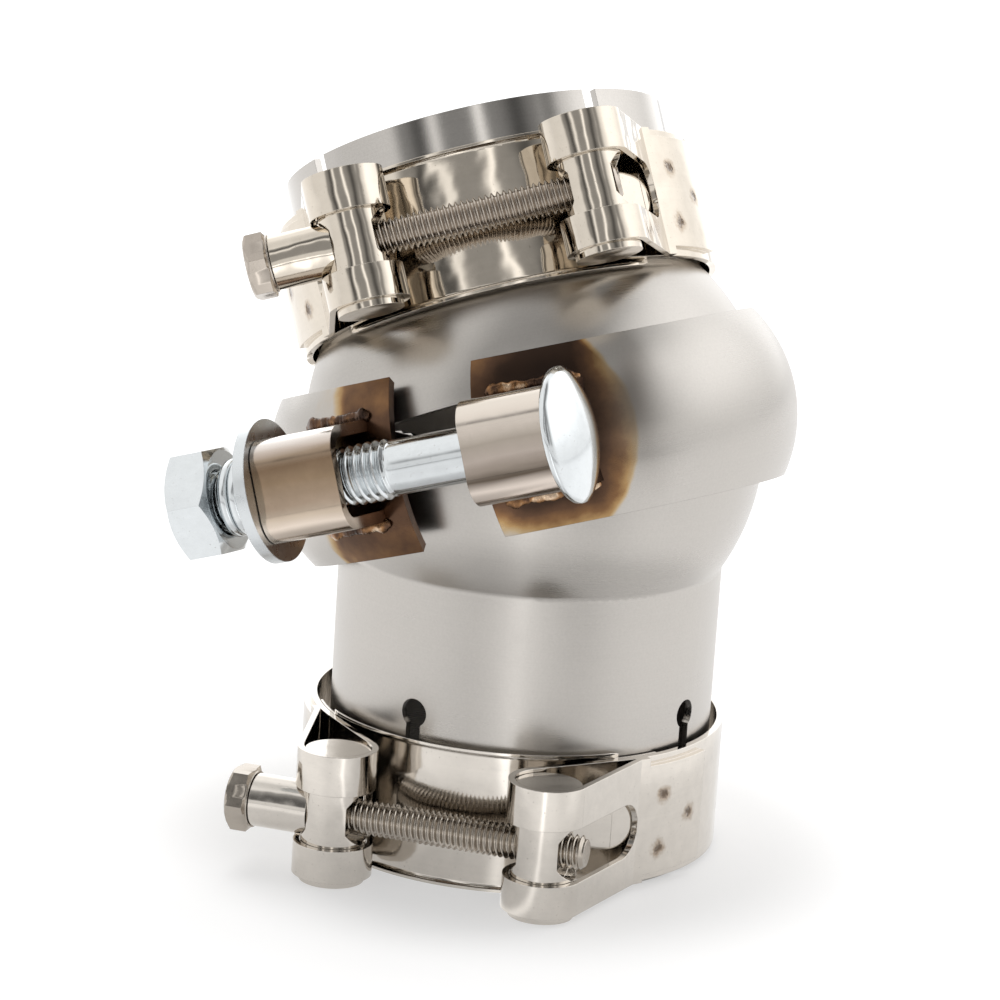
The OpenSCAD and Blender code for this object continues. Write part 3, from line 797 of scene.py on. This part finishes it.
def floor_material():
    """To the camera, pale grey round the object, a painted shadow, and white further
    out. In reflections, white with darker and brighter stretches in front, where
    the lens and the table's edge are, and dimmed close to the object by a painted
    shadow. Inside the pipe both are dimmed by painted shade."""
    t = Tree("white floor")
    diffuse = t.node("BsdfDiffuse")
    diffuse.inputs[0].default_value = (0.5, 0.495, 0.49, 1)
    emit = t.node("Emission")
    emit.inputs[0].default_value = (1, 1, 1, 1)
    place = t.node("NewGeometry").outputs["Position"]
    x, y, _ = t.split(place)
    angle = from_front(t, x, y)
    dist = t.vec("LENGTH", place)
    front = None
    for at, width, strength in FLOOR_STRETCHES:
        part = t.mul(bell(t, angle, at, width), strength)
        front = part if front is None else t.add(front, part)
    front = t.mul(front, t.remap(dist, 0.10, 0.16, 0.5, 1.0))
    table_edge = t.mul(
        bell(t, dist, 0.80, 0.22), t.remap(t.math("ABSOLUTE", angle), 50, 75, 0.92, 0.0, True))
    mirrored = t.mul(t.add(0.82, front), t.sub(1.0, table_edge))
    # Painted shadow: the floor as reflections see it is darker close to the object
    mirrored = t.mul(mirrored, t.remap(dist, 0.075, 0.105, 0.65, 1.0, True))
    # Painted shadow: close round the object the floor is greyer to the camera; further out it is
    # raised to an even white
    seen = t.add(
        t.remap(dist, 0.044, 0.072, 0.52, 0.72, True), t.remap(dist, 0.12, 0.45, 0.0, 0.26, True))
    # Painted shade: inside the pipe the floor is nearly black, to the camera and in reflections
    outside = t.remap(dist, 0.030, 0.034, 0.03, 1.0, True)
    direct, glossy = rays(t)
    level = t.add(t.mul(direct, seen), t.mul(glossy, mirrored))
    t.put(emit.inputs[1], t.mul(level, outside))
    both = t.node("AddShader")
    t.t.links.new(diffuse.outputs[0], both.inputs[0])
    t.t.links.new(emit.outputs[0], both.inputs[1])
    t.t.links.new(both.outputs[0], t.out.inputs[0])
    return t.mat


def lay_floor(side, z):
    """A square floor, just under the object so that the two don't share a plane."""
    bm = bmesh.new()
    bmesh.ops.create_grid(bm, x_segments=1, y_segments=1, size=0.5)
    me = bpy.data.meshes.new("floor")
    bm.to_mesh(me)
    bm.free()
    me.transform(Matrix.Diagonal((side, side, 1, 1)))
    me.materials.append(floor_material())
    o = bpy.data.objects.new("floor", me)
    bpy.context.scene.collection.objects.link(o)
    o.matrix_world = Matrix.Translation((0, 0, z))


def grey(v):
    return (v, v * 0.995, v * 0.985)


# Bright stripes in the dark side: angle from the front, width, height over which
# they fade in degrees, and their strength below and above it
STRIPES = (
    (-1.0, 4.0, (50, 60), 1.0, 0.15),
    (-30.0, 3.6, (50, 60), 0.75, 0.1),
    (44.0, 3.0, (32, 42), 0.45, 0.0),
)


def studio():
    """White to the camera and an even grey for the light it sheds. In reflections,
    a white tent with lamps behind and at the right, a dark side in which the camera
    stands, bright stripes in that side, and a dark patch high up at the right."""
    world = bpy.data.worlds.new("studio")
    bpy.context.scene.world = world
    t = Tree("studio", world)
    x, y, z = t.split(t.node("TexCoord").outputs["Generated"])
    side = from_front(t, x, y)
    height = t.mul(t.math("ARCSINE", z), DEG)
    white = (1, 1, 1, 1)

    tent = t.ramp(t.remap(height, 0, 90, 0.0, 1.0), [
        (0.00, grey(0.50)), (0.30, grey(0.54)), (0.62, grey(0.58)), (0.80, grey(0.42)),
        (1.00, grey(0.50))])
    back_light = t.mul(
        t.remap(t.math("ABSOLUTE", side), 128, 150, 0.0, 0.75, True),
        t.remap(height, 26, 44, 1.0, 0.25, True))
    tent = t.mix(back_light, tent, white)
    side_light = t.mul(
        zone(t, side, (60, 82), (125, 150), 0.0, 0.75),
        zone(t, height, (0, 30), (42, 60), 0.2, 1.0, 0.15))
    tent = t.mix(side_light, tent, white)

    dark = t.mul(
        zone(t, side, (-56, -48), (52, 64)),
        zone(t, height, (10, 15), (66, 84), 0.15, 1.0, 0.3))
    deep = t.most(t.mul(bell(t, side, -39.0, 5.0), 0.8), t.mul(bell(t, side, 26.0, 9.0), 0.8))
    env = t.mix(dark, tent, t.mix(deep, (*grey(0.19), 1), (*grey(0.03), 1)))
    stripes = None
    for at, width, fade, below, above in STRIPES:
        part = t.mul(bell(t, side, at, width), t.remap(height, *fade, below, above, True))
        stripes = part if stripes is None else t.most(stripes, part)
    env = t.mix(t.mul(stripes, dark), env, (*grey(0.78), 1))

    high_dark = t.mul(
        zone(t, side, (35, 50), (128, 148), 0.0, 0.85), zone(t, height, (56, 64), (78, 86)))
    env = t.mix(high_dark, env, (*grey(0.08), 1))
    env = t.mix(1.0, env, (2, 2, 2, 1), "MULTIPLY")

    direct, glossy = rays(t)
    shed = t.mix(direct, (0.35, 0.35, 0.35, 1), white)
    background = t.node("Background")
    t.put(background.inputs[0], t.mix(glossy, shed, env))
    t.t.links.new(background.outputs[0], t.out.inputs[0])


def lamp(name, at, side, power):
    """A square soft box that points at the object and shows in no reflection."""
    d = bpy.data.lights.new(name, "AREA")
    d.shape = "RECTANGLE"
    d.size = d.size_y = side
    d.energy = power
    o = bpy.data.objects.new(name, d)
    bpy.context.scene.collection.objects.link(o)
    at, target = Vector(at), Vector((0, 0, 0.06))
    turn = (at - target).to_track_quat("Z", "Y").to_matrix().to_4x4()
    o.matrix_world = Matrix.Translation(at) @ turn
    o.visible_camera = False
    o.visible_glossy = False


lay_floor(6, -0.00005)
studio()
# Both stand behind the object, so that its shadow falls to the front
lamp("soft box above", (-0.1, 0.6, 1.2), 1.2, 10)
lamp("soft box right", (0.9, 0.5, 0.9), 0.8, 4)

bpy.context.scene.view_settings.view_transform = "Standard"
